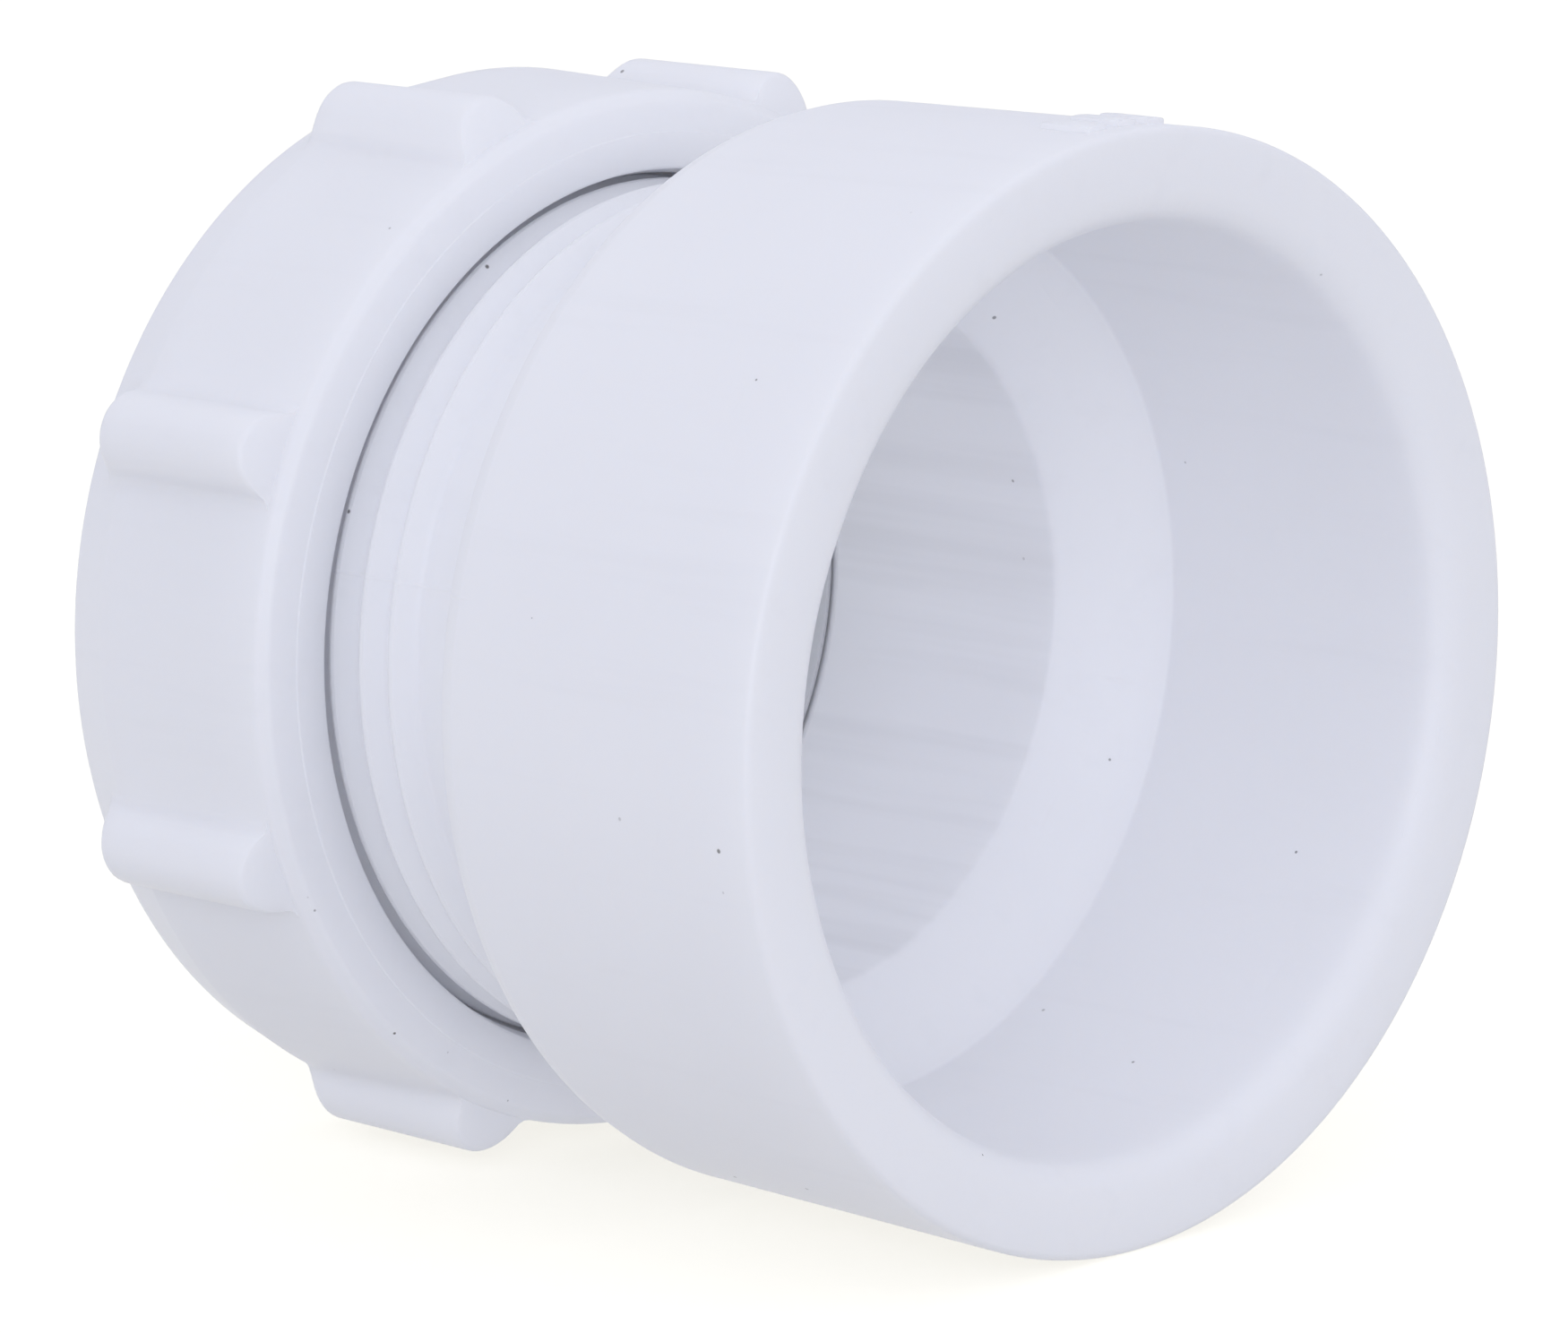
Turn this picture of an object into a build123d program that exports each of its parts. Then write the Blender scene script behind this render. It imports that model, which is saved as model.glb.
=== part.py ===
from build123d import *
import math
import os

# Trap adapter for 1-1/2 in plastic drain pipe, in three pieces: a body with a solvent-weld
# socket and a threaded spigot, a slip nut that screws onto the spigot, and the beveled
# washer that the nut squeezes onto a plain tailpiece tube.
#
# Frame: the common axis is X and +Z is up. The origin is the pipe stop, where the socket's
# wall ends: the mouth faces +X, and the spigot, the washer and the nut lie towards -X.
# Distances called starts, ends, fronts and backs are measured from the stop towards -X.
# Lengths are millimetres.

# ---- pipe and tube that the fitting joins ----
pipe_socket_d = 48.11           # inside diameter of the socket, at its base
socket_depth = 18.9             # mouth to the pipe stop
tube_d = 38.10                  # plain tailpiece tube that slides in from the nut's side

# ---- hub ----
hub_wall = 4.95                 # socket wall, measured at the mouth
hub_draft = 0.25                # how much smaller the hub's radius is at its back edge
hub_floor_least = 2.8           # pipe stop to the hub's back face, more for a long cone
hub_corner_wall = 1.18          # radial, from the stop cone to the neck at that back face
lip_round = 1.8                 # rounded lead-in of the socket
rim_round = 0.5
hub_back_chamfer_x = 0.9
hub_back_chamfer_r = 0.25
shoulder_round = 2.5            # between the hub's back face and the neck

# ---- spigot ----
stop_cone_length = 4.55         # cone from the pipe stop to the smaller bore
bore_clearance = 0.15           # radial, round the tube
spigot_wall = 3.05              # under the thread's root
neck_length = 8.7               # hub's back face to the first thread ridge
thread_length = 12.0            # first ridge to the spigot's end
seat_depth = 2.75               # bevel in the spigot's end that takes the washer
seat_rise = 1.6
spigot_end_chamfer = 1.1

# ---- thread, 11.5 turns to the inch, right-handed ----
turns_per_inch = 11.5
depth_per_pitch = 0.543
crest_per_pitch = 0.16          # flat crest of the spigot's ridge
nut_crest_per_pitch = 0.135     # flat crest of the nut's inner ridge
thread_radial_clearance = 0.25
root_sink = 0.25                # how deep each ridge is sunk into its wall
flank_angle = 30.0
seam_step = 15

# ---- slip nut ----
nut_length = 15.75
washer_room = 6.3               # spigot's end to the nut's lip, as assembled
nut_wall = 4.5                  # outside the thread's root, at the front
nut_draft = 0.35
nut_mouth_clearance = 0.5       # radial, round the thread's crest
nut_face_dish = 0.3
nut_edge_x = 0.9                # soft bevel between the front face and the side
nut_edge_r = 0.45
nut_back_band = 3.4             # slow taper behind the side wall
nut_back_taper = 0.85
nut_back_round = 0.6
nut_mouth_depth = 0.9
nut_mouth_cone = 1.5
mouth_cone_undercut = 0.05
nut_lip = 2.2                   # back wall that pushes the washer
nut_lip_clearance = 0.4         # radial, round the tube
nut_cavity_step = 0.7           # washer room is this much smaller in radius than the root
thread_end_margin = 0.85        # inner thread past the spigot's end

# ---- lugs on the nut ----
lug_count = 8
lug_phase = 21.5                # degrees from +Y towards +Z
lug_r = 2.3
lug_height = 2.05               # above the nut's side at its back
lug_start = 1.15                # behind the front face
lug_stop = 2.3                  # lug's end to the nut's back face
lug_tail = 1.4                  # slope at the lug's back end

# ---- washer ----
washer_tube_clearance = 0.15    # radial, before the washer is squeezed
washer_side_clearance = 0.3     # radial, inside the crest of the nut's ridge
washer_nose = 0.3               # flat ring at the thin end
washer_round = 0.3
cut_margin = 1.0                # how far a cutting shape stands past what it cuts
piece_gap = 0.15                # between washer and nut, and between washer and seat

# ---- raised marks on the hub, plain bars ----
mark_count = 3
mark_length = 3.2
mark_width = 1.3
mark_height = 0.3
mark_pitch = 2.2
mark_from_mouth = 1.6

# ---- derived ----
pitch = 25.4 / turns_per_inch
thread_depth = depth_per_pitch * pitch
bore_r = tube_d / 2 + bore_clearance
socket_r = pipe_socket_d / 2
hub_r = socket_r + hub_wall
hub_back_r = hub_r - hub_draft
root_r = bore_r + spigot_wall
cone_drop = socket_r - root_r + hub_corner_wall
hub_floor = max(hub_floor_least, stop_cone_length * cone_drop / (socket_r - bore_r))
thread_start = hub_floor + neck_length
spigot_end = thread_start + thread_length
crest_r = root_r + thread_depth
shoulder_land = hub_back_r - hub_back_chamfer_r - root_r
shoulder_fillet = min(shoulder_round, shoulder_land / 2)
nut_root_r = crest_r + thread_radial_clearance
nut_ridge_r = root_r + thread_radial_clearance
nut_front_r = nut_root_r + nut_wall
nut_back_r = nut_front_r + nut_draft
nut_mouth_r = crest_r + nut_mouth_clearance
nut_cavity_r = nut_root_r - nut_cavity_step
lip_face = spigot_end + washer_room
nut_back = lip_face + nut_lip
nut_front = nut_back - nut_length
inner_thread_end = spigot_end + thread_end_margin
lug_tip_r = nut_back_r + lug_height
lug_end = nut_back - lug_stop
lip_hole_r = tube_d / 2 + nut_lip_clearance
washer_bore_r = tube_d / 2 + washer_tube_clearance
washer_r = nut_ridge_r - washer_side_clearance
seat_start = spigot_end - seat_depth
seat_slope = seat_rise / seat_depth
seat_gap_x = piece_gap / math.sin(math.atan(seat_slope))
nose_r = washer_bore_r + washer_nose
nose_on_seat = seat_start + (nose_r - bore_r) / seat_slope
washer_front = nose_on_seat + seat_gap_x
washer_shoulder = washer_front + (washer_r - nose_r) / seat_slope
washer_back = lip_face - piece_gap


def rings(part, back, radius):
    """Round edges of a part at one distance behind the pipe stop and with one radius."""
    found = []
    for edge in part.edges().filter_by(GeomType.CIRCLE):
        centre = edge.arc_center
        if abs(centre.X + back) < 0.01 and abs(edge.radius - radius) < 0.01:
            found.append(edge)
    return found


def ridge(first, turns, base_r, crest_width, outward):
    """Helical thread ridge round X, with its base sunk into the wall it stands on."""
    side = 1 if outward else -1
    half_top = crest_width / 2
    half_base = half_top + (thread_depth + root_sink) * math.tan(math.radians(flank_angle))
    path = Helix(pitch, turns * pitch, base_r, center=(-first, 0, 0), direction=(-1, 0, 0))
    start = path @ 0
    radial = Vector(0, start.Y, start.Z).normalized()
    profile_plane = Plane(origin=start, x_dir=radial, z_dir=path % 0)
    with BuildPart() as thread:
        with BuildSketch(profile_plane):
            with BuildLine():
                Polyline(
                    (-side * root_sink, -half_base),
                    (side * thread_depth, -half_top),
                    (side * thread_depth, half_top),
                    (-side * root_sink, half_base),
                    close=True,
                )
            make_face()
        sweep(path=path, is_frenet=True)
    return thread.part


def with_thread(wall, thread):
    """A turned wall joined with its ridge; the wall's seam is moved until they join."""
    for turn in range(0, 360, seam_step):
        joined = wall.rotate(Axis.X, turn) + thread
        grown = joined.volume - wall.volume
        if joined.is_valid and len(joined.solids()) == 1 and grown < thread.volume:
            return joined
    raise ValueError("the thread did not join its wall")


def hub_mark(offset):
    """One plain raised bar on top of the hub, close to the mouth."""
    middle = socket_depth - mark_from_mouth - mark_length / 2
    with BuildPart() as mark:
        with Locations((middle, 0, 0)):
            Cylinder(hub_r + mark_height, mark_length, rotation=(0, 90, 0))
        with Locations((middle, offset, hub_r)):
            Box(mark_length, mark_width, 2 * hub_wall, mode=Mode.INTERSECT)
    return mark.part


# ---- adapter body ----
male_turns = (spigot_end - thread_start) / pitch + 0.7
male_ridge = ridge(thread_start, male_turns, root_r, crest_per_pitch * pitch, True)
marks = []
for number in range(mark_count):
    marks.append(hub_mark((number - (mark_count - 1) / 2) * mark_pitch))

with BuildPart() as turned_body:
    with BuildSketch(Plane.XY):
        with BuildLine():
            Polyline(
                (socket_depth, socket_r),
                (socket_depth, hub_r),
                (-hub_floor + hub_back_chamfer_x, hub_back_r),
                (-hub_floor, hub_back_r - hub_back_chamfer_r),
                (-hub_floor, root_r),
                (-spigot_end, root_r),
                (-spigot_end, bore_r + seat_rise),
                (-seat_start, bore_r),
                (-stop_cone_length, bore_r),
                (0, socket_r),
                close=True,
            )
        make_face()
    revolve(axis=Axis.X)
    fillet(rings(turned_body, -socket_depth, socket_r), lip_round)
    fillet(rings(turned_body, -socket_depth, hub_r), rim_round)
    fillet(rings(turned_body, hub_floor, root_r), shoulder_fillet)

with BuildPart() as adapter_body:
    add(with_thread(turned_body.part, male_ridge))
    with BuildSketch(Plane.XY):
        with BuildLine():
            Polyline(
                (-spigot_end - 2 * pitch, 0),
                (-spigot_end, 0),
                (-spigot_end, crest_r - spigot_end_chamfer),
                (-spigot_end + spigot_end_chamfer, crest_r),
                (-spigot_end + spigot_end_chamfer, hub_r),
                (-spigot_end - 2 * pitch, hub_r),
                close=True,
            )
        make_face()
    revolve(axis=Axis.X, mode=Mode.SUBTRACT)
    add(marks)
adapter_body.part.label = "adapter_body"

# ---- slip nut ----
turns_past_front = math.ceil((nut_front - thread_start) / pitch - 0.5)
nut_first_ridge = thread_start + (turns_past_front - 0.5) * pitch
nut_turns = (inner_thread_end - nut_first_ridge) / pitch
nut_ridge = ridge(nut_first_ridge, nut_turns, nut_root_r, nut_crest_per_pitch * pitch, False)
face_bend_r = (nut_mouth_r + nut_front_r) / 2

with BuildPart() as turned_nut:
    with BuildSketch(Plane.XY):
        with BuildLine():
            Polyline(
                (-nut_front, nut_root_r),
                (-nut_front, face_bend_r),
                (-nut_front - nut_face_dish, nut_front_r - nut_edge_r),
                (-nut_front - nut_edge_x, nut_front_r),
                (-nut_back + nut_back_band, nut_back_r),
                (-nut_back, nut_back_r - nut_back_taper),
                (-nut_back, lip_hole_r),
                (-lip_face, lip_hole_r),
                (-lip_face, nut_cavity_r),
                (-inner_thread_end, nut_cavity_r),
                (-inner_thread_end, nut_root_r),
                close=True,
            )
        make_face()
    revolve(axis=Axis.X)
    fillet(rings(turned_nut, nut_back, nut_back_r - nut_back_taper), nut_back_round)

with BuildPart() as slip_nut:
    add(with_thread(turned_nut.part, nut_ridge))
    with BuildSketch(Plane.YZ.offset(-nut_front - lug_start)):
        with PolarLocations(lug_tip_r - lug_r, lug_count, start_angle=lug_phase):
            Circle(lug_r)
    extrude(amount=-(lug_end - nut_front - lug_start))
    with BuildSketch(Plane.XY):
        with BuildLine():
            Polyline(
                (-lug_end + lug_tail, lug_tip_r + cut_margin),
                (-lug_end + lug_tail, lug_tip_r),
                (-lug_end, nut_back_r),
                (-lug_end - cut_margin, nut_back_r),
                (-lug_end - cut_margin, lug_tip_r + cut_margin),
                close=True,
            )
        make_face()
    revolve(axis=Axis.X, mode=Mode.SUBTRACT)
    with BuildSketch(Plane.XY):
        with BuildLine():
            Polyline(
                (-nut_front + 3 * pitch, 0),
                (-nut_front + 3 * pitch, nut_root_r + root_sink + cut_margin),
                (-nut_front, nut_root_r + root_sink + cut_margin),
                (-nut_front, nut_mouth_r),
                (-nut_front - nut_mouth_depth, nut_mouth_r),
                (-nut_front - nut_mouth_depth - nut_mouth_cone, nut_ridge_r - mouth_cone_undercut),
                (-nut_front - nut_mouth_depth - nut_mouth_cone, 0),
                close=True,
            )
        make_face()
    revolve(axis=Axis.X, mode=Mode.SUBTRACT)
slip_nut.part.label = "slip_nut"

# ---- slip washer ----
with BuildPart() as slip_washer:
    with BuildSketch(Plane.XY):
        with BuildLine():
            Polyline(
                (-washer_front, washer_bore_r),
                (-washer_front, nose_r),
                (-washer_shoulder, washer_r),
                (-washer_back, washer_r),
                (-washer_back, washer_bore_r),
                close=True,
            )
        make_face()
    revolve(axis=Axis.X)
    fillet(rings(slip_washer, washer_shoulder, washer_r), washer_round)
    fillet(rings(slip_washer, washer_back, washer_r), washer_round)
slip_washer.part.label = "slip_washer"

os.makedirs("parts", exist_ok=True)
export_step(adapter_body.part, "parts/adapter_body.step")
export_step(slip_nut.part, "parts/slip_nut.step")
export_step(slip_washer.part, "parts/slip_washer.step")
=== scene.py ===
"""Slip-joint drain adapter: a white moulded body, its lugged nut and the washer inside it."""

import math

import bmesh
import bpy
from mathutils import Matrix, Vector


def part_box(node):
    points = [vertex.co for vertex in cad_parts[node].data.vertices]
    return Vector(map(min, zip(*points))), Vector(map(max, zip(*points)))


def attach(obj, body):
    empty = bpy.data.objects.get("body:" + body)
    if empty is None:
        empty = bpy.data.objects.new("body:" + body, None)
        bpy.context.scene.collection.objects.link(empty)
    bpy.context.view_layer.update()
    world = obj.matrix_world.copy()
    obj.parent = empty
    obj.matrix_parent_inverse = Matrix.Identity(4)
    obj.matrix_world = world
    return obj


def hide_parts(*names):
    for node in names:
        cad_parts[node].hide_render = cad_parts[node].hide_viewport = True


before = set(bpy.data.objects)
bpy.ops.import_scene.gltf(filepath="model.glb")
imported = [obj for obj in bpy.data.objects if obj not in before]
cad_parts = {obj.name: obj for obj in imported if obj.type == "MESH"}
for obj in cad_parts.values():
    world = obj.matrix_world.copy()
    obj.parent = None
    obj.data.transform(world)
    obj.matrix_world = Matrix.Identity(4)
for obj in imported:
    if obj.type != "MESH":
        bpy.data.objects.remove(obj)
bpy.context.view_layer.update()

bl_info = {
    "name": "Slip-joint drain adapter",
    "version": (1, 0, 0),
    "blender": (4, 5, 0),
    "location": "View3D > Sidebar > Drain adapter",
    "description": "Builds a moulded drain adapter, its slip nut and washer over a packed frame",
    "category": "Add Mesh",
}

# ---- places taken from the frame, metres ----
BODY_LOW, BODY_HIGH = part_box("adapter_body")
NUT_LOW, NUT_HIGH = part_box("slip_nut")
WASHER_LOW, WASHER_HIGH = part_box("slip_washer")
MM = 0.001
AXIS = Vector((1, 0, 0))
TURN = 2 * math.pi

MOUTH = BODY_HIGH.x                 # plane of the socket's mouth
SPIGOT_END = MOUTH - BODY_LOW.x
HUB_RADIUS = -BODY_LOW.z
MARK_TOP = BODY_HIGH.z              # crest of the raised bars on the hub
NUT_FRONT = MOUTH - NUT_HIGH.x
NUT_BACK = MOUTH - NUT_LOW.x
WASHER_FRONT = MOUTH - WASHER_HIGH.x
WASHER_BACK = MOUTH - WASHER_LOW.x
WASHER_RADIUS = WASHER_HIGH.z
FLOOR_HEIGHT = min(BODY_LOW.z, NUT_LOW.z)


# ======================================================================
# Shapes
# ======================================================================

def rounded(corners, arc_steps=5):
    """Outline through corners (back, radius, rounding): each rounding becomes a true arc.

    Back is the distance behind the socket's mouth. The first and last corners of an open
    outline have no rounding.
    """
    outline = []
    count = len(corners)
    for index, (back, radius, rounding) in enumerate(corners):
        here = Vector((back, radius))
        before = Vector(corners[index - 1][:2])
        after = Vector(corners[(index + 1) % count][:2])
        if rounding <= 0:
            outline.append(here)
            continue
        to_before = (before - here).normalized()
        to_after = (after - here).normalized()
        half = math.acos(max(-1.0, min(1.0, to_before.dot(to_after)))) / 2
        centre = here + (to_before + to_after).normalized() * (rounding / math.sin(half))
        start = here + to_before * (rounding / math.tan(half)) - centre
        end = here + to_after * (rounding / math.tan(half)) - centre
        sweep = start.angle_signed(end)
        for step in range(arc_steps + 1):
            turned = start.copy()
            turned.rotate(Matrix.Rotation(-sweep * step / arc_steps, 2))
            outline.append(centre + turned)
    return outline


def add_outline(bm, outline, closed):
    """Vertices and edges of an outline in the half plane that holds the axis and +Z."""
    verts = [bm.verts.new((MOUTH - back, 0, radius)) for back, radius in outline]
    edges = [bm.edges.new(pair) for pair in zip(verts, verts[1:])]
    if closed:
        edges.append(bm.edges.new((verts[-1], verts[0])))
    return verts, edges


def turned_shell(bm, outline, steps, closed=True):
    """Outline turned a full circle round the axis, with the middle of a facet on top."""
    verts, edges = add_outline(bm, outline, closed)
    bmesh.ops.rotate(
        bm, verts=verts, cent=(0, 0, 0), matrix=Matrix.Rotation(TURN / steps / 2, 3, "X"),
    )
    bmesh.ops.spin(
        bm, geom=verts + edges, cent=(0, 0, 0), axis=AXIS, angle=TURN,
        steps=steps, use_merge=True,
    )


def open_loops(bm):
    """Boundary loops, as lists of edges."""
    left = {edge for edge in bm.edges if edge.is_boundary}
    loops = []
    while left:
        loop = [left.pop()]
        reach = list(loop[0].verts)
        while reach:
            vert = reach.pop()
            for edge in vert.link_edges:
                if edge in left:
                    left.discard(edge)
                    loop.append(edge)
                    reach.append(edge.other_vert(vert))
        loops.append(loop)
    return loops


def smoothstep(value):
    value = max(0.0, min(1.0, value))
    return value * value * (3 - 2 * value)


def around(co):
    """Angle of a point round the axis, from +Y towards +Z."""
    return math.atan2(co.z, co.y) % TURN


def put(vert, back, radius, angle):
    """Moves a vertex to a distance behind the mouth, a radius and an angle."""
    vert.co = (MOUTH - back, radius * math.cos(angle), radius * math.sin(angle))


def screw_thread(bm, first, turns, root, crest, settings):
    """Continuous threaded wall: one ridge swept round the axis, faded at both ends.

    first is where the middle of the ridge begins, at the bottom; one flat turn is added at
    each end and cut square there, so that a plain wall can be bridged to it.
    """
    pitch = settings.thread_pitch
    flank = abs(crest - root) * math.tan(math.radians(settings.flank_angle))
    top = settings.crest_width / 2
    side = 1 if crest > root else -1
    ease = settings.thread_round
    points = []
    for shift, height in (
        (-pitch / 2, 0), (-top - flank - ease, 0), (-top - flank, 0.05),
        (-top - flank + ease, 0.22),
        (-top - ease * 0.8, 0.80), (-top, 0.95), (0, 1.0), (top, 0.95), (top + ease * 0.8, 0.80),
        (top + flank - ease, 0.22), (top + flank, 0.05), (top + flank + ease, 0), (pitch / 2, 0),
    ):
        points.append((shift, root + side * height * abs(crest - root)))
    start_angle = 1.5 * math.pi
    whole = math.ceil(turns)
    total = whole + 2
    verts = []
    for shift, radius in points:
        vert = bm.verts.new((0, 0, 0))
        put(vert, first - pitch + shift, radius, start_angle)
        verts.append(vert)
    edges = [bm.edges.new(pair) for pair in zip(verts, verts[1:])]
    steps = settings.thread_steps * total
    bmesh.ops.spin(
        bm, geom=verts + edges, cent=(0, 0, 0), axis=-AXIS, angle=TURN * total,
        steps=steps, dvec=(-pitch * total / steps, 0, 0),
    )
    bmesh.ops.remove_doubles(bm, verts=bm.verts, dist=0.002 * MM)
    for vert in bm.verts:
        phase = ((start_angle - around(vert.co)) % TURN) / TURN
        back = MOUTH - vert.co.x
        lead = (back - (first - pitch / 2)) / pitch - phase
        turn = math.floor(lead + 1e-4) + phase
        fade = smoothstep(turn / settings.thread_lead_in)
        fade *= smoothstep((turns - turn) / settings.thread_lead_in)
        radius = math.hypot(vert.co.y, vert.co.z)
        put(vert, back, root + (radius - root) * fade, around(vert.co))
    front_cut = first - pitch / 2
    back_cut = first + pitch * (turns + 0.5)
    for back, normal in ((front_cut, AXIS), (back_cut, -AXIS)):
        bmesh.ops.bisect_plane(
            bm, geom=bm.verts[:] + bm.edges[:] + bm.faces[:], dist=0.001 * MM,
            plane_co=(MOUTH - back, 0, 0), plane_no=normal, clear_outer=True,
        )
    return front_cut, back_cut


def join_shells(bm, other):
    """Adds another bmesh to bm."""
    mesh = bpy.data.meshes.new("joined shell")
    other.to_mesh(mesh)
    other.free()
    bm.from_mesh(mesh)
    bpy.data.meshes.remove(mesh)


def finish_piece(name, bm, crease=32.0):
    """Closes, turns outward and shades a mesh, and gives it an object at the origin."""
    bmesh.ops.remove_doubles(bm, verts=bm.verts, dist=0.001 * MM)
    bmesh.ops.recalc_face_normals(bm, faces=bm.faces)
    for face in bm.faces:
        face.smooth = True
    for edge in bm.edges:
        edge.smooth = edge.calc_face_angle(0.0) < math.radians(crease)
    mesh = bpy.data.meshes.new(name)
    bm.to_mesh(mesh)
    bm.free()
    piece = bpy.data.objects.new(name, mesh)
    bpy.context.scene.collection.objects.link(piece)
    return piece


# ======================================================================
# Finishes
# ======================================================================

class Nodes:
    """Short calls for a material's node tree."""

    def __init__(self, name):
        self.material = bpy.data.materials.new(name)
        self.material.use_nodes = True
        self.tree = self.material.node_tree
        self.shader = self.tree.nodes["Principled BSDF"]
        self.place = self.add("ShaderNodeTexCoord").outputs["Object"]

    def add(self, kind, **values):
        node = self.tree.nodes.new(kind)
        for key, value in values.items():
            if hasattr(node, key):
                setattr(node, key, value)
            else:
                node.inputs[key.replace("_", " ")].default_value = value
        return node

    def link(self, source, target):
        self.tree.links.new(source, target)

    def mapped(self, scale):
        node = self.add("ShaderNodeMapping")
        node.inputs["Scale"].default_value = scale
        self.link(self.place, node.inputs["Vector"])
        return node.outputs["Vector"]

    def noise(self, vector, scale, detail=3.0, roughness=0.5, distortion=0.0):
        node = self.add("ShaderNodeTexNoise")
        node.inputs["Scale"].default_value = scale
        node.inputs["Detail"].default_value = detail
        node.inputs["Roughness"].default_value = roughness
        node.inputs["Distortion"].default_value = distortion
        self.link(vector, node.inputs["Vector"])
        return node.outputs["Fac"]

    def spots(self, vector, scale, radius, share):
        """Up to 1 inside sparse uneven specks of mixed size and depth, 0 elsewhere."""
        cells = self.add("ShaderNodeTexVoronoi")
        cells.inputs["Scale"].default_value = scale
        self.link(vector, cells.inputs["Vector"])
        split = self.add("ShaderNodeSeparateColor")
        self.link(cells.outputs["Color"], split.inputs["Color"])
        reach = self.ranged(split.outputs["Green"], 0.0, 1.0, radius * 0.35, radius)
        share_out = self.math("DIVIDE", cells.outputs["Distance"], reach)
        near = self.ranged(share_out, 1.0, 0.6, 0.0, 1.0)
        depth = self.ranged(split.outputs["Blue"], 0.0, 1.0, 0.25, 1.0)
        chosen = self.math("LESS_THAN", split.outputs["Red"], share)
        return self.math("MULTIPLY", self.math("MULTIPLY", near, chosen), depth)

    def ranged(self, value, low, high, to_low, to_high):
        node = self.add("ShaderNodeMapRange")
        for key, number in (
            ("From Min", low), ("From Max", high), ("To Min", to_low), ("To Max", to_high),
        ):
            node.inputs[key].default_value = number
        self.link(value, node.inputs["Value"])
        return node.outputs["Result"]

    def math(self, operation, first, second):
        node = self.add("ShaderNodeMath", operation=operation)
        for socket, value in zip(node.inputs, (first, second)):
            if isinstance(value, (int, float)):
                socket.default_value = value
            else:
                self.link(value, socket)
        return node.outputs["Value"]

    def mix(self, factor, first, second):
        node = self.add("ShaderNodeMix", data_type="RGBA")
        sockets = [s for s in node.inputs if s.type == "RGBA"]
        self.link(factor, node.inputs[0])
        for socket, value in zip(sockets, (first, second)):
            if isinstance(value, tuple):
                socket.default_value = value
            else:
                self.link(value, socket)
        return [s for s in node.outputs if s.type == "RGBA"][0]

    def bump(self, height, distance, strength=1.0, under=None):
        node = self.add("ShaderNodeBump")
        node.inputs["Strength"].default_value = strength
        node.inputs["Distance"].default_value = distance
        self.link(height, node.inputs["Height"])
        if under is not None:
            self.link(under, node.inputs["Normal"])
        return node.outputs["Normal"]


def shade(colour, factor):
    """A colour made lighter or darker, with alpha."""
    return tuple(channel * factor for channel in colour[:3]) + (1.0,)


def parting_ridge(look, radius, bore_radius, angle, hub_edge):
    """1 on the hair-fine line where the mould's halves met, from the hub's back edge on."""
    across = look.add("ShaderNodeVectorMath", operation="DOT_PRODUCT")
    look.link(look.place, across.inputs[0])
    across.inputs[1].default_value = (0.0, math.sin(angle), -math.cos(angle))
    aside = look.math("ABSOLUTE", across.outputs["Value"], 0.0)
    line = look.ranged(aside, 0.12 * MM, 0.03 * MM, 0.0, 1.0)
    outside = look.ranged(radius, bore_radius + 2.0 * MM, bore_radius + 2.5 * MM, 0.0, 1.0)
    axial = look.add("ShaderNodeSeparateXYZ")
    look.link(look.place, axial.inputs[0])
    behind = look.ranged(axial.outputs["X"], hub_edge, hub_edge - 0.5 * MM, 0.0, 1.0)
    return look.math("MULTIPLY", look.math("MULTIPLY", line, outside), behind)


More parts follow.
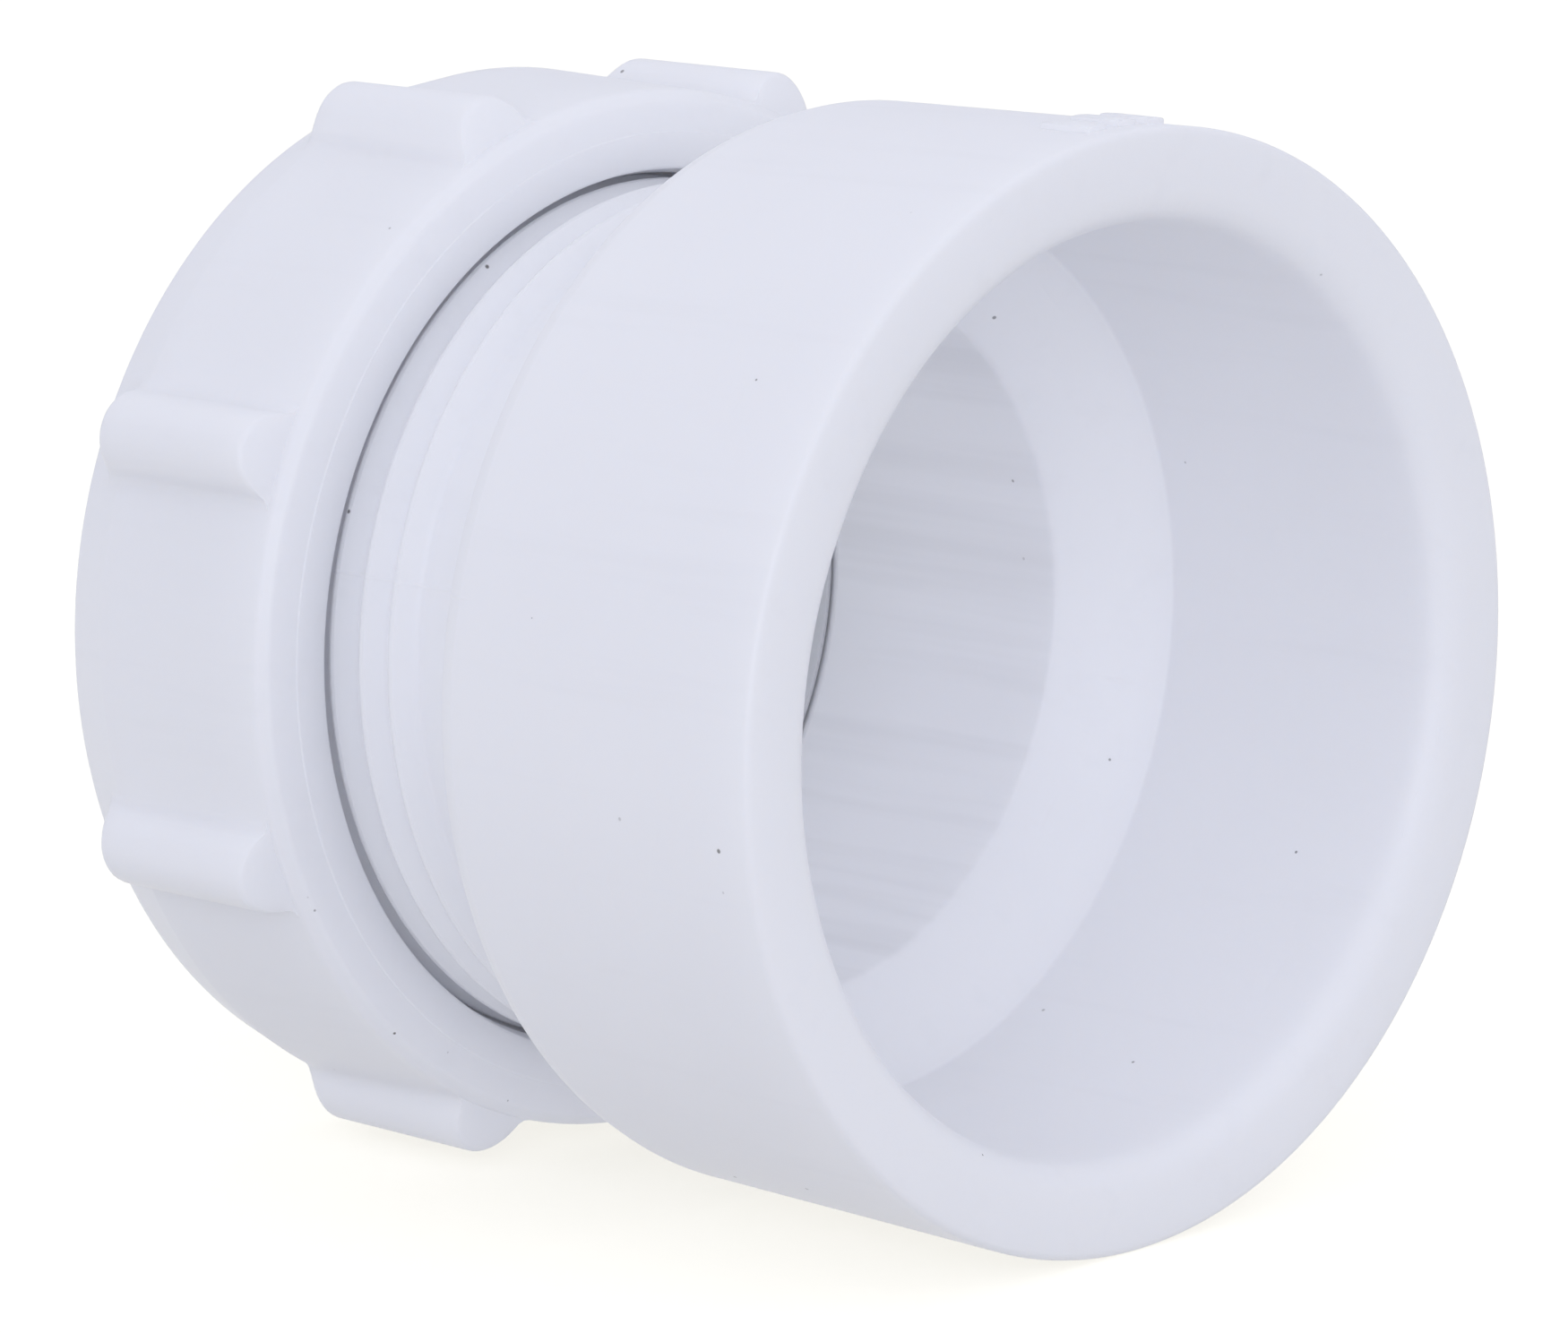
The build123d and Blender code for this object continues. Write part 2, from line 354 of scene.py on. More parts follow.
def moulded_pvc(name, colour, roughness, seed, bore_radius=0.0, parting=0.0, hub_edge=0.0):
    """White moulded PVC: faint flow marks, a fine skin, stray specks and rub marks.

    Inside bore_radius it has drag streaks along the axis, and a parting line runs along the
    outside at an angle, from hub_edge towards the nut.
    """
    look = Nodes(name)
    look.shader.inputs["IOR"].default_value = 1.5
    look.shader.inputs["Subsurface Weight"].default_value = 0.6
    look.shader.inputs["Subsurface Radius"].default_value = (1.0, 0.95, 0.9)
    look.shader.inputs["Subsurface Scale"].default_value = 3.5 * MM
    shifted = look.add("ShaderNodeMapping")
    shifted.inputs["Location"].default_value = (seed * 0.37, seed * 0.11, seed * 0.53)
    look.link(look.place, shifted.inputs["Vector"])
    place = shifted.outputs["Vector"]

    clouds = look.noise(place, 45.0, 4.0, 0.55)
    flow = look.noise(look.mapped((28.0, 420.0, 420.0)), 1.0, 5.0, 0.6)
    grain = look.noise(place, 2600.0, 2.0, 0.6)
    specks = look.spots(place, 600.0, 0.10, 0.10)
    radius = look.add("ShaderNodeVectorMath", operation="LENGTH")
    look.link(look.mapped((0.0, 1.0, 1.0)), radius.inputs[0])
    radius = radius.outputs["Value"]
    grime = look.noise(place, 160.0, 6.0, 0.7)

    light = shade(colour, 1.015)
    base = shade(colour, 1.0)
    dull = shade(colour, 0.955)
    tint = look.mix(look.ranged(clouds, 0.35, 0.7, 0.0, 1.0), light, base)
    tint = look.mix(look.ranged(flow, 0.55, 0.85, 0.0, 0.5), tint, dull)
    tint = look.mix(look.ranged(grime, 0.66, 0.80, 0.0, 0.35), tint, dull)
    if bore_radius:
        inside = look.ranged(radius, bore_radius + 0.3 * MM, bore_radius, 0.0, 1.0)
        drag = look.noise(look.mapped((14.0, 330.0, 330.0)), 1.0, 3.0, 0.6)
        streaks = look.math("MULTIPLY", look.ranged(drag, 0.45, 0.65, 0.0, 0.8), inside)
        tint = look.mix(streaks, tint, shade(colour, 0.93))
    tint = look.mix(specks, tint, (0.12, 0.115, 0.11, 1.0))
    look.link(tint, look.shader.inputs["Base Color"])

    rough = look.ranged(clouds, 0.3, 0.7, roughness - 0.04, roughness + 0.05)
    look.link(rough, look.shader.inputs["Roughness"])

    skin = look.bump(grain, 0.012 * MM, 0.6)
    waves = look.bump(clouds, 0.10 * MM, 0.35, skin)
    scratch_lines = look.noise(look.mapped((1500.0, 90.0, 240.0)), 1.0, 2.0, 0.4, 1.5)
    scratches = look.ranged(scratch_lines, 0.72, 0.76, 0.0, 1.0)
    marks = look.bump(scratches, 0.015 * MM, 0.5, waves)
    if parting:
        ridge = parting_ridge(look, radius, bore_radius, parting, hub_edge)
        marks = look.bump(ridge, 0.05 * MM, 0.45, marks)
    look.link(marks, look.shader.inputs["Normal"])
    return look.material


def washer_poly(name, colour):
    """Waxy polyethylene with a soft sheen and faint turning rings."""
    look = Nodes(name)
    look.shader.inputs["IOR"].default_value = 1.51
    look.shader.inputs["Subsurface Weight"].default_value = 0.8
    look.shader.inputs["Subsurface Radius"].default_value = (1.0, 0.95, 0.9)
    look.shader.inputs["Subsurface Scale"].default_value = 6.0 * MM
    clouds = look.noise(look.place, 90.0, 3.0, 0.5)
    rings = look.noise(look.mapped((2200.0, 12.0, 12.0)), 1.0, 2.0, 0.5)
    cloudy = look.ranged(clouds, 0.3, 0.7, 0.0, 1.0)
    tint = look.mix(cloudy, shade(colour, 1.0), shade(colour, 0.94))
    look.link(tint, look.shader.inputs["Base Color"])
    look.link(look.ranged(clouds, 0.3, 0.7, 0.36, 0.46), look.shader.inputs["Roughness"])
    look.link(look.bump(rings, 0.02 * MM, 0.5), look.shader.inputs["Normal"])
    return look.material


def studio_paper(name, colour, glow):
    """Matte pale paper for the floor, faintly lit from below."""
    look = Nodes(name)
    fibres = look.noise(look.place, 700.0, 4.0, 0.6)
    fibrous = look.ranged(fibres, 0.3, 0.7, 0.0, 1.0)
    tint = look.mix(fibrous, shade(colour, 1.0), shade(colour, 0.985))
    look.link(tint, look.shader.inputs["Base Color"])
    look.shader.inputs["Roughness"].default_value = 0.9
    look.shader.inputs["Specular IOR Level"].default_value = 0.1
    look.shader.inputs["Emission Color"].default_value = (1.0, 0.93, 0.6, 1.0)
    look.shader.inputs["Emission Strength"].default_value = glow
    look.link(look.bump(fibres, 0.05 * MM, 0.2), look.shader.inputs["Normal"])
    return look.material


# ======================================================================
# Settings
# ======================================================================

def length(name, description, value):
    """A length property in metres, given in millimetres."""
    return bpy.props.FloatProperty(
        name=name, description=description, default=value * MM, unit="LENGTH", precision=5,
    )


def colour(name, description, value):
    return bpy.props.FloatVectorProperty(
        name=name, description=description, default=value, subtype="COLOR", min=0, max=1,
    )


def watts(name, description, value):
    return bpy.props.FloatProperty(
        name=name, description=description + ", watts", default=value, min=0,
    )


class AdapterSettings(bpy.types.PropertyGroup):
    """Sizes and colours of the adapter, its nut and its washer."""

    steps: bpy.props.IntProperty(
        name="Turned steps", description="Facets round a turned wall", default=414, min=48,
    )
    thread_steps: bpy.props.IntProperty(
        name="Thread steps", description="Facets in one turn of thread", default=192, min=48,
    )
    stop_round: length("Stop rounding", "Rounding where the stop cone meets the socket", 0.35)
    bore_round: length("Bore rounding", "Rounding where the stop cone meets the bore", 0.5)
    shoulder_round: length("Shoulder", "Rounding between the hub's back and the neck", 2.5)
    parting_start: length("Parting start", "Hub's back face to the parting line's front end", 1.7)
    pipe_radius: length("Socket radius", "Inside radius of the pipe's socket", 24.055)
    socket_depth: length("Socket depth", "Mouth to the stop cone", 18.9)
    cone_length: length("Stop cone", "Length of the cone behind the socket", 4.55)
    bore_radius: length("Bore radius", "Radius round the tailpiece tube", 19.2)
    hub_length: length("Hub length", "Mouth to the hub's back face", 21.7)
    hub_draft: length("Hub draft", "Loss of radius along the hub", 0.25)
    edge_bevel: length("Edge bevel", "Length of the bevel at the hub's back edge", 0.9)
    lip_round: length("Lip rounding", "Lead-in of the socket", 1.8)
    rim_round: length("Rim rounding", "Outer edge of the mouth", 0.45)
    root_radius: length("Thread root", "Radius at the foot of the spigot's thread", 22.25)
    thread_depth: length("Thread depth", "Height of the thread's ridge", 1.2)
    thread_first: length("Thread start", "Mouth to the first ridge", 30.4)
    thread_pitch: length("Pitch", "Travel in one turn", 25.4 / 11.5)
    crest_width: length("Crest width", "Flat on top of the ridge", 0.34)
    thread_round: length("Thread rounding", "Softness at the ridge's foot and crest", 0.16)
    flank_angle: bpy.props.FloatProperty(
        name="Flank angle", description="Slope of the ridge's sides", default=30.0,
    )
    thread_lead_in: bpy.props.FloatProperty(
        name="Lead-in", description="Turns over which a ridge rises", default=0.12,
    )
    seat_rise: length("Seat rise", "Radius that the washer's seat gains", 1.6)
    seat_depth: length("Seat depth", "Length of the washer's seat in the spigot's end", 2.75)
    washer_nose: length("Washer nose", "Width of the flat ring at the washer's thin end", 0.3)
    thread_gap: length("Thread gap", "Radial clearance between the threads", 0.25)
    marks: bpy.props.IntProperty(name="Marks", description="Raised bars on the hub", default=3)
    mark_back: length("Mark place", "Mouth to the middle of the raised bars", 3.2)
    mark_length: length("Mark length", "Length of a raised bar along the hub", 3.2)
    mark_width: length("Mark width", "Width of a raised bar", 1.3)
    mark_pitch: length("Mark pitch", "Raised bar to raised bar", 2.2)
    mark_soft: length("Mark softness", "Rounding of a raised bar's upper edges", 0.12)
    parting_angle: bpy.props.FloatProperty(
        name="Parting line", description="Mould's parting line, from +Y towards +Z",
        default=math.radians(167.5), subtype="ANGLE",
    )
    plastic: colour("PVC", "Colour of the moulded body and nut", (0.88, 0.885, 0.905))
    gloss: bpy.props.FloatProperty(
        name="Roughness", description="Roughness of the moulded skin", default=0.42,
    )
    washer_colour: colour("Washer", "Colour of the washer", (0.88, 0.885, 0.89))


class NutSettings(bpy.types.PropertyGroup):
    """Sizes of the slip nut and its lugs."""

    front_radius: length("Front radius", "Side wall at the front", 28.2)
    back_radius: length("Back radius", "Side wall at the back", 28.55)
    mouth_radius: length("Mouth radius", "Edge of the threaded mouth", 23.98)
    face_bend: length("Face bend", "Radius of the fine ring on the front face", 25.95)
    face_dish: length("Face dish", "Fall of the face outside the ring", 0.3)
    back_band: length("Back band", "Length of the taper behind the side wall", 3.4)
    back_taper: length("Back taper", "Loss of radius over the band", 0.85)
    lip: length("Back lip", "Thickness of the wall that pushes the washer", 2.2)
    lip_radius: length("Lip hole", "Radius of the hole in the lip", 19.45)
    root_radius: length("Nut thread root", "Radius at the foot of the inner thread", 23.7)
    cavity_radius: length("Washer room", "Radius of the room for the washer", 23.0)
    thread_end: length("Thread end", "Mouth to the end of the inner thread", 43.2)
    side_start: length("Side start", "Front face to the start of the side wall", 0.9)
    mouth_depth: length("Mouth depth", "Front face to the start of the inner thread", 1.3)
    lugs: bpy.props.IntProperty(name="Lugs", description="Lugs round the nut", default=8)
    lug_phase: bpy.props.FloatProperty(
        name="Lug angle", description="First lug, from +Y towards +Z", default=math.radians(21.5),
        subtype="ANGLE",
    )
    lug_columns: bpy.props.IntProperty(
        name="Lug columns", description="Facets on half a lug", default=11,
    )
    lug_radius: length("Lug radius", "Radius of a lug's round crest", 2.3)
    lug_foot: length("Lug foot", "Fillet between a lug and the wall", 0.65)
    lug_centre: length("Lug centre", "Distance of a lug's centre from the axis", 28.3)
    lug_edge: length("Lug edge", "Rounding of a lug's flat front end", 0.3)
    lug_lean: length("Lug lean", "How far a lug's front end leans back at its crest", 0.65)
    columns_per_lug: bpy.props.IntProperty(
        name="Columns", description="Facets of the wall from lug to lug", default=80,
    )
    lug_front: length("Lug front", "Front face of the nut to a lug's flat end", 1.15)
    lug_back: length("Lug back", "Lug's back end to the nut's back face", 2.3)


class StageSettings(bpy.types.PropertyGroup):
    """Camera, floor and lights."""

    azimuth: bpy.props.FloatProperty(
        name="Azimuth", description="Camera round the object", default=math.radians(43.934),
        subtype="ANGLE",
    )
    elevation: bpy.props.FloatProperty(
        name="Elevation", description="Camera above the floor", default=math.radians(10.704),
        subtype="ANGLE",
    )
    distance: length("Distance", "Camera to the mouth's centre, along the view", 363.154)
    aim_right: length("Aim right", "Mouth's centre to the right of the view's middle", 18.301)
    aim_down: length("Aim down", "Mouth's centre below the view's middle", 1.599)
    lens: bpy.props.FloatProperty(
        name="Lens", description="Focal length, millimetres", default=164.57,
    )
    paper: colour("Paper", "Colour of the floor", (0.95, 0.95, 0.95))
    paper_glow: bpy.props.FloatProperty(
        name="Floor glow", description="Light that comes up through the floor", default=0.34,
    )
    room: colour("Room", "Colour of the room's light", (0.89, 0.905, 1.0))
    room_strength: bpy.props.FloatProperty(
        name="Room strength", description="Brightness of the room", default=0.86,
    )
    room_below: bpy.props.FloatProperty(
        name="Room below", description="Share of the room's light that comes from below",
        default=0.89,
    )
    room_low: bpy.props.FloatProperty(
        name="Room low", description="Height in the room's sphere where its light is weakest",
        default=-0.4,
    )
    room_high: bpy.props.FloatProperty(
        name="Room high", description="Height in the room's sphere where its light is full",
        default=0.2,
    )
    light_distance: bpy.props.FloatProperty(
        name="Light distance", description="Soft boxes to the middle of the fitting",
        default=0.9, unit="LENGTH",
    )
    top_power: watts("Top", "Top light", 0.05)
    front_power: watts("Front", "Light from beside the camera", 1.5)
    left_power: watts("Left", "Left light", 0.08)
    right_power: watts("Right", "Right light", 0.2)


# ======================================================================
# Pieces
# ======================================================================

def hub_side(adapter, back):
    """Radius of the hub's drafted side at a distance behind the mouth."""
    return HUB_RADIUS - adapter.hub_draft * back / (adapter.hub_length - adapter.edge_bevel)


def body_outline(adapter):
    """Closed section of the body without its thread, from the neck round to the end."""
    end = SPIGOT_END
    root = adapter.root_radius
    hub_back = HUB_RADIUS - adapter.hub_draft
    socket = adapter.socket_depth
    mark_start = adapter.mark_back - adapter.mark_length / 2
    mark_end = adapter.mark_back + adapter.mark_length / 2
    return [
        (end - 0.35 * MM, root, 0),
        (end, root - 0.2 * MM, 0.15 * MM),
        (end, adapter.bore_radius + adapter.seat_rise, 0.15 * MM),
        (end - adapter.seat_depth, adapter.bore_radius, 0.1 * MM),
        (socket + adapter.cone_length, adapter.bore_radius, adapter.bore_round),
        (socket, adapter.pipe_radius, adapter.stop_round),
        (0, adapter.pipe_radius, adapter.lip_round),
        (0, HUB_RADIUS, adapter.rim_round),
        (mark_start, hub_side(adapter, mark_start), 0),
        (mark_end, hub_side(adapter, mark_end), 0),
        (adapter.hub_length - adapter.edge_bevel, hub_back, 0.35 * MM),
        (adapter.hub_length, hub_back - 0.25 * MM, 0.12 * MM),
        (adapter.hub_length, root, adapter.shoulder_round),
        (adapter.thread_first - adapter.thread_pitch, root, 0),
    ]


def bridge_rings(bm, back):
    """Joins the two open rings that lie nearest to a distance behind the mouth."""
    def far(loop):
        middle = sum(edge.verts[0].co.x for edge in loop) / len(loop)
        return abs(MOUTH - back - middle)

    nearest = sorted(open_loops(bm), key=far)[:2]
    bmesh.ops.bridge_loops(bm, edges=nearest[0] + nearest[1])


def raise_marks(bm, adapter):
    """Pulls plain bars up from the facets on top of the hub, close to the mouth."""
    facet = TURN / adapter.steps
    facets_apart = round(adapter.mark_pitch / HUB_RADIUS / facet)
    facets_wide = round(adapter.mark_width / HUB_RADIUS / facet)
    bars = [[] for number in range(adapter.marks)]
    for face in bm.faces:
        middle = face.calc_center_median()
        back = MOUTH - middle.x
        radius = math.hypot(middle.y, middle.z)
        inside = abs(back - adapter.mark_back) < adapter.mark_length / 2
        if not inside or radius < HUB_RADIUS - adapter.rim_round:
            continue
        number = (around(middle) - math.pi / 2) / facet / facets_apart + (adapter.marks - 1) / 2
        nearest = round(number)
        aside = abs(number - nearest) * facets_apart
        if 0 <= nearest < adapter.marks and aside < facets_wide / 2:
            bars[nearest].append(face)
    for faces in bars:
        made = bmesh.ops.extrude_face_region(bm, geom=faces)["geom"]
        bmesh.ops.delete(bm, geom=faces, context="FACES")
        top_verts = [item for item in made if isinstance(item, bmesh.types.BMVert)]
        top_faces = [item for item in made if isinstance(item, bmesh.types.BMFace)]
        for vert in top_verts:
            put(vert, MOUTH - vert.co.x, MARK_TOP, around(vert.co))
        rim = [
            edge for face in top_faces for edge in face.edges
            if sum(other in top_faces for other in edge.link_faces) == 1
        ]
        bmesh.ops.bevel(
            bm, geom=rim, offset=adapter.mark_soft, offset_type="OFFSET", segments=2,
            profile=0.5, affect="EDGES", material=-1,
        )


def build_body(adapter):
    """The moulded body: socket hub, neck and threaded spigot."""
    bm = bmesh.new()
    turned_shell(bm, rounded(body_outline(adapter)), adapter.steps, closed=False)
    turns = (SPIGOT_END - 0.6 * MM - adapter.thread_first) / adapter.thread_pitch - 0.5
    crest = adapter.root_radius + adapter.thread_depth
    thread = bmesh.new()
    cuts = screw_thread(
        thread, adapter.thread_first, turns, adapter.root_radius, crest, adapter,
    )
    join_shells(bm, thread)
    for cut in cuts:
        bridge_rings(bm, cut)
    raise_marks(bm, adapter)
    return finish_piece("moulded_body", bm)


def nut_wall(nut, back):
    """Radius of the nut's outer wall, before its lugs, at a distance behind the mouth."""
    side_start = NUT_FRONT + nut.side_start
    side_end = NUT_BACK - nut.back_band
    if back > side_end:
        return nut.back_radius - nut.back_taper * (back - side_end) / nut.back_band
    share = (back - side_start) / (side_end - side_start)
    return nut.front_radius + (nut.back_radius - nut.front_radius) * share


def lug_rings(nut):
    """Rings across the lugs: (distance behind the mouth, share of a lug's full section)."""
    start = NUT_FRONT + nut.lug_front
    straight_end = NUT_BACK - nut.back_band
    end = NUT_BACK - nut.lug_back
    rings = [(start, 0.0)]
    for step in range(5):
        angle = step / 4 * math.pi / 2
        share = 1 - nut.lug_edge * (1 - math.sin(angle)) / nut.lug_radius
        rings.append((start + nut.lug_edge * (1 - math.cos(angle)), share))
    straight = 9
    straight_start = start + nut.lug_edge
    for step in range(1, straight + 1):
        rings.append((straight_start + (straight_end - straight_start) * step / straight, 1.0))
    for step in range(1, 9):
        angle = step / 8 * math.pi / 2
        rings.append((straight_end + (end - straight_end) * math.sin(angle), math.cos(angle)))
    return rings


def nut_outline(nut):
    """Open section of the nut from its mouth, round the outside, to the inner thread's end.

    Returns the outline before the lugs' rings and the outline after them.
    """
    face = rounded([
        (NUT_FRONT + nut.mouth_depth, nut.root_radius, 0),
        (NUT_FRONT + 0.9 * MM, nut.mouth_radius, 0.15 * MM),
        (NUT_FRONT, nut.mouth_radius, 0.22 * MM),
        (NUT_FRONT, nut.face_bend, 0.04 * MM),
        (NUT_FRONT + 0.07 * MM, nut.face_bend + 0.08 * MM, 0.04 * MM),
        (NUT_FRONT + nut.face_dish, nut.front_radius - 0.55 * MM, 0.5 * MM),
        (NUT_FRONT + nut.side_start, nut.front_radius, 0.6 * MM),
        (NUT_BACK, nut.back_radius, 0),
    ])
    rear = rounded([
        (NUT_BACK - nut.back_band, nut.back_radius, 0),
        (NUT_BACK, nut.back_radius - nut.back_taper, 0.6 * MM),
        (NUT_BACK, nut.lip_radius, 0.3 * MM),
        (NUT_BACK - nut.lip, nut.lip_radius, 0.25 * MM),
        (NUT_BACK - nut.lip, nut.cavity_radius, 0.4 * MM),
        (nut.thread_end, nut.cavity_radius, 0),
        (nut.thread_end - 0.3 * MM, nut.root_radius, 0),
    ])
    return face[:-1], rear[1:]


def lug_curve(nut, share):
    """Sideways and outward distances on a lug's section; share runs from crest to foot."""
    radius = nut.lug_radius
    foot = nut.lug_foot
    reach = math.sqrt(radius * radius + 2 * radius * foot)
    low = math.asin(foot / (radius + foot))
    crest_arc = radius * (math.pi / 2 - low)
    foot_arc = foot * (math.pi / 2 - low)
    run = share * (crest_arc + foot_arc)
    if run <= crest_arc:
        angle = math.pi / 2 - run / radius
        return radius * math.cos(angle), radius * math.sin(angle)
    angle = low + (run - crest_arc) / foot
    return reach - foot * math.cos(angle), foot - foot * math.sin(angle)


def shape_lugs(bm, nut, rings, columns):
    """Pulls the tagged rings of the nut's wall out into half-round lugs with filleted feet."""
    tags = bm.verts.layers.int["ring"]
    pace = TURN / columns
    sector = TURN / nut.lugs
    for vert in bm.verts:
        if not vert[tags]:
            continue
        back, share = rings[vert[tags] - 1]
        angle = around(vert.co)
        middle = nut.lug_phase + round((angle - nut.lug_phase) / sector) * sector
        column = (angle - middle) / pace
        if abs(column) > nut.lug_columns + 0.01 or share == 0:
            continue
        wall = nut_wall(nut, back)
        side, out = lug_curve(nut, min(1.0, abs(column) / nut.lug_columns))
        flat_side = wall * math.sin(abs(column) * pace)
        side = flat_side + (side - flat_side) * share
        height = out * share
        crest_pull = min(1.0, height / nut.lug_radius)
        if back < NUT_FRONT + nut.lug_front + 1.01 * nut.lug_edge:
            back += nut.lug_lean * crest_pull
        base = wall + (nut.lug_centre - wall) * crest_pull
        across = math.copysign(side, column)
        along = math.sqrt(max(0.0, base * base - side * side)) + height
        vert.co = (
            MOUTH - back,
            along * math.cos(middle) - across * math.sin(middle),
            along * math.sin(middle) + across * math.cos(middle),
        )


def build_nut(adapter, nut):
    """The slip nut: lugged outside, threaded mouth, room for the washer and back lip."""
    rings = lug_rings(nut)
    before, after = nut_outline(nut)
    across_lugs = [Vector((back, nut_wall(nut, back))) for back, share in rings]
    bm = bmesh.new()
    tags = bm.verts.layers.int.new("ring")
    verts, edges = add_outline(bm, before + across_lugs + after, closed=False)
    for number in range(len(rings)):
        verts[len(before) + number][tags] = number + 1
    columns = nut.lugs * nut.columns_per_lug
    bmesh.ops.rotate(
        bm, verts=verts, cent=(0, 0, 0),
        matrix=Matrix.Rotation(nut.lug_phase - math.pi / 2, 3, "X"),
    )
    bmesh.ops.spin(
        bm, geom=verts + edges, cent=(0, 0, 0), axis=AXIS, angle=TURN,
        steps=columns, use_merge=True,
    )
    shape_lugs(bm, nut, rings, columns)
    thread = bmesh.new()
    pitch = adapter.thread_pitch
    crest = adapter.root_radius + adapter.thread_gap
    mouth_end = NUT_FRONT + nut.mouth_depth
    ahead = math.ceil((mouth_end - adapter.thread_first) / pitch)
    first = adapter.thread_first + (ahead + 0.5) * pitch
    turns = (nut.thread_end - 0.4 * MM - first) / pitch - 0.5
    cuts = screw_thread(thread, first, turns, nut.root_radius, crest, adapter)
    join_shells(bm, thread)
    for cut in cuts:
        bridge_rings(bm, cut)
    return finish_piece("lugged_nut", bm)


def build_washer(adapter):
    """The beveled washer: a cone towards the body's seat and a flat back for the nut."""
    nose = adapter.bore_radius + adapter.washer_nose
    bevel_length = (WASHER_RADIUS - nose) * adapter.seat_depth / adapter.seat_rise
    shoulder = WASHER_FRONT + bevel_length
    bm = bmesh.new()
    turned_shell(bm, rounded([
        (WASHER_FRONT, adapter.bore_radius, 0.05 * MM),
        (WASHER_FRONT, nose, 0.05 * MM),
        (shoulder, WASHER_RADIUS, 0.4 * MM),
        (WASHER_BACK, WASHER_RADIUS, 0.35 * MM),
        (WASHER_BACK, adapter.bore_radius, 0.3 * MM),
    ]), adapter.steps)
    return finish_piece("beveled_washer", bm)


def build_floor():
    """A wide plain floor under the fitting."""
    bm = bmesh.new()
    bmesh.ops.create_grid(bm, x_segments=2, y_segments=2, size=4.0)
    bmesh.ops.translate(bm, verts=bm.verts, vec=(0, 0, FLOOR_HEIGHT))
    mesh = bpy.data.meshes.new("floor")
    bm.to_mesh(mesh)
    bm.free()
    floor = bpy.data.objects.new("floor", mesh)
    floor.visible_diffuse = False
    bpy.context.scene.collection.objects.link(floor)
    return floor


def view_frame(azimuth, elevation):
    """Right, up and towards-camera directions of a view."""
    towards = Vector((
        math.sin(azimuth) * math.cos(elevation),
        -math.cos(azimuth) * math.cos(elevation),
        math.sin(elevation),
    ))
    right = Vector((0, 0, 1)).cross(towards).normalized()
    return right, towards.cross(right), towards


def place_camera(stage):
    """Long-lens camera that looks at the mouth from in front, a little above."""
    right, up, towards = view_frame(stage.azimuth, stage.elevation)
    camera = bpy.data.cameras.new("camera")
    camera.lens = stage.lens
    camera.clip_start = 0.01
    holder = bpy.data.objects.new("camera", camera)
    bpy.context.scene.collection.objects.link(holder)
    turn = Matrix((right, up, towards)).transposed().to_4x4()
    mouth = AXIS * MOUTH
    place = mouth + towards * stage.distance - right * stage.aim_right + up * stage.aim_down
    holder.matrix_world = Matrix.Translation(place) @ turn
    bpy.context.scene.camera = holder


def softbox(name, azimuth, elevation, distance, size, power, tint=(1.0, 1.0, 1.0)):
    """Square soft light that faces the middle of the fitting."""
    right, up, towards = view_frame(math.radians(azimuth), math.radians(elevation))
    light = bpy.data.lights.new(name, "AREA")
    light.shape = "SQUARE"
    light.size = size
    light.energy = power
    light.color = tint
    lamp = bpy.data.objects.new(name, light)
    bpy.context.scene.collection.objects.link(lamp)
    middle = Vector(((BODY_LOW.x + MOUTH) / 2, 0, 0))
    turn = Matrix((right, up, towards)).transposed().to_4x4()
    lamp.matrix_world = Matrix.Translation(middle + towards * distance) @ turn


def light_room(stage):
    """Pale room light, weaker from below, with soft boxes and plain colour handling."""
    scene = bpy.context.scene
    world = bpy.data.worlds.new("room")
    scene.world = world
    world.use_nodes = True
    tree = world.node_tree
    back = tree.nodes["Background"]
    back.inputs["Color"].default_value = tuple(stage.room) + (1.0,)
    direction = tree.nodes.new("ShaderNodeTexCoord")
    height = tree.nodes.new("ShaderNodeSeparateXYZ")
    tree.links.new(direction.outputs["Generated"], height.inputs[0])
    fall = tree.nodes.new("ShaderNodeMapRange")
    fall.inputs["From Min"].default_value = stage.room_low
    fall.inputs["From Max"].default_value = stage.room_high
    fall.inputs["To Min"].default_value = stage.room_strength * stage.room_below
    fall.inputs["To Max"].default_value = stage.room_strength
    tree.links.new(height.outputs["Z"], fall.inputs["Value"])
    tree.links.new(fall.outputs["Result"], back.inputs["Strength"])
    away = stage.light_distance
    softbox("top box", 20, 65, away, 0.8, stage.top_power)
    softbox("front box", 40, 12, away, 0.5, stage.front_power, tuple(stage.room))
    softbox("left box", -50, 25, away, 0.6, stage.left_power)
    softbox("right box", 110, 30, away, 0.6, stage.right_power)
    scene.view_settings.view_transform = "Standard"
    scene.cycles.diffuse_bounces = 10


# ======================================================================
# Operators
# ======================================================================

class ADAPTER_OT_body(bpy.types.Operator):
    """Models the moulded body with its socket hub and threaded spigot"""

    bl_idname = "adapter.body"
    bl_label = "Moulded body"

    def execute(self, context):
        adapter = context.scene.adapter
        piece = build_body(adapter)
        piece.data.materials.append(moulded_pvc(
            "body pvc", adapter.plastic, adapter.gloss, 1, adapter.bore_radius,
            adapter.parting_angle, MOUTH - adapter.hub_length + adapter.parting_start,
        ))
        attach(piece, "adapter_body")
        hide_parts("adapter_body")
        return {"FINISHED"}


